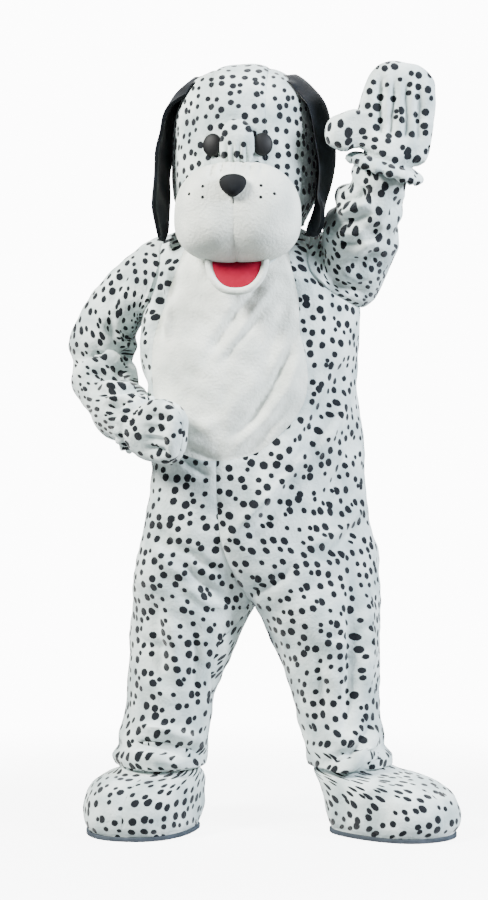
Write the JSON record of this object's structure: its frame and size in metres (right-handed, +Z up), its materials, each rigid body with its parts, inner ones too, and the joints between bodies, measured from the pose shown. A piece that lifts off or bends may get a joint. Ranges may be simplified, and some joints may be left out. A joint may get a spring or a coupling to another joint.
{
  "type": "dog mascot costume",
  "caption": "Worn spotted dog mascot costume: padded head with long ears, one-piece suit with a white belly, mitts and shoe covers, one arm raised.",
  "frame": {"origin": "at the base of the wearer's neck, between the shoulders that hold the costume up", "axes": "+Z up, the front faces -Y, the wearer's left is +X"},
  "size_m": [0.9176, 0.5076, 1.812],
  "materials": {
    "spotted_plush": "matte",
    "white_plush": "matte",
    "black_velvet": "matte",
    "black_nose": "satin",
    "black_eye": "gloss",
    "red_felt": "matte",
    "dark_sole": "matte",
    "dark_metal": "satin",
    "zip_tape": "matte"
  },
  "bodies": {
    "costume": {"back_zip": "zip_tape", "belly_panel": "white_plush", "ear_left": "black_velvet", "ear_right": "black_velvet", "eye_left": "black_eye", "eye_right": "black_eye", "head_gore": "spotted_plush", "head_side_left": "spotted_plush", "head_side_right": "spotted_plush", "mitt_left_back": "spotted_plush", "mitt_left_palm": "spotted_plush", "mitt_right_back": "spotted_plush", "mitt_right_palm": "spotted_plush", "mouth_lining": "red_felt", "mouth_lip": "white_plush", "muzzle_left": "white_plush", "muzzle_right": "white_plush", "nose": "black_nose", "shoe_left_inner": "spotted_plush", "shoe_left_outer": "spotted_plush", "shoe_right_inner": "spotted_plush", "shoe_right_outer": "spotted_plush", "sleeve_left": "spotted_plush", "sleeve_right": "spotted_plush", "snout_bridge": "spotted_plush", "sole_left": "dark_sole", "sole_right": "dark_sole", "suit_back_left": "spotted_plush", "suit_back_right": "spotted_plush", "suit_front_left": "spotted_plush", "suit_front_right": "spotted_plush", "zip_slider": "dark_metal"},
    "pull_tab": {"zip_pull": "dark_metal"}
  },
  "joints": [
    {"name": "pull_hinge", "type": "hinge", "parent": "costume", "child": "pull_tab", "pos_m": [0.00563, 0.12218, 0.01981], "axis": [0.9807, 0, 0.1955], "range_deg": [0, 150]}
  ]
}
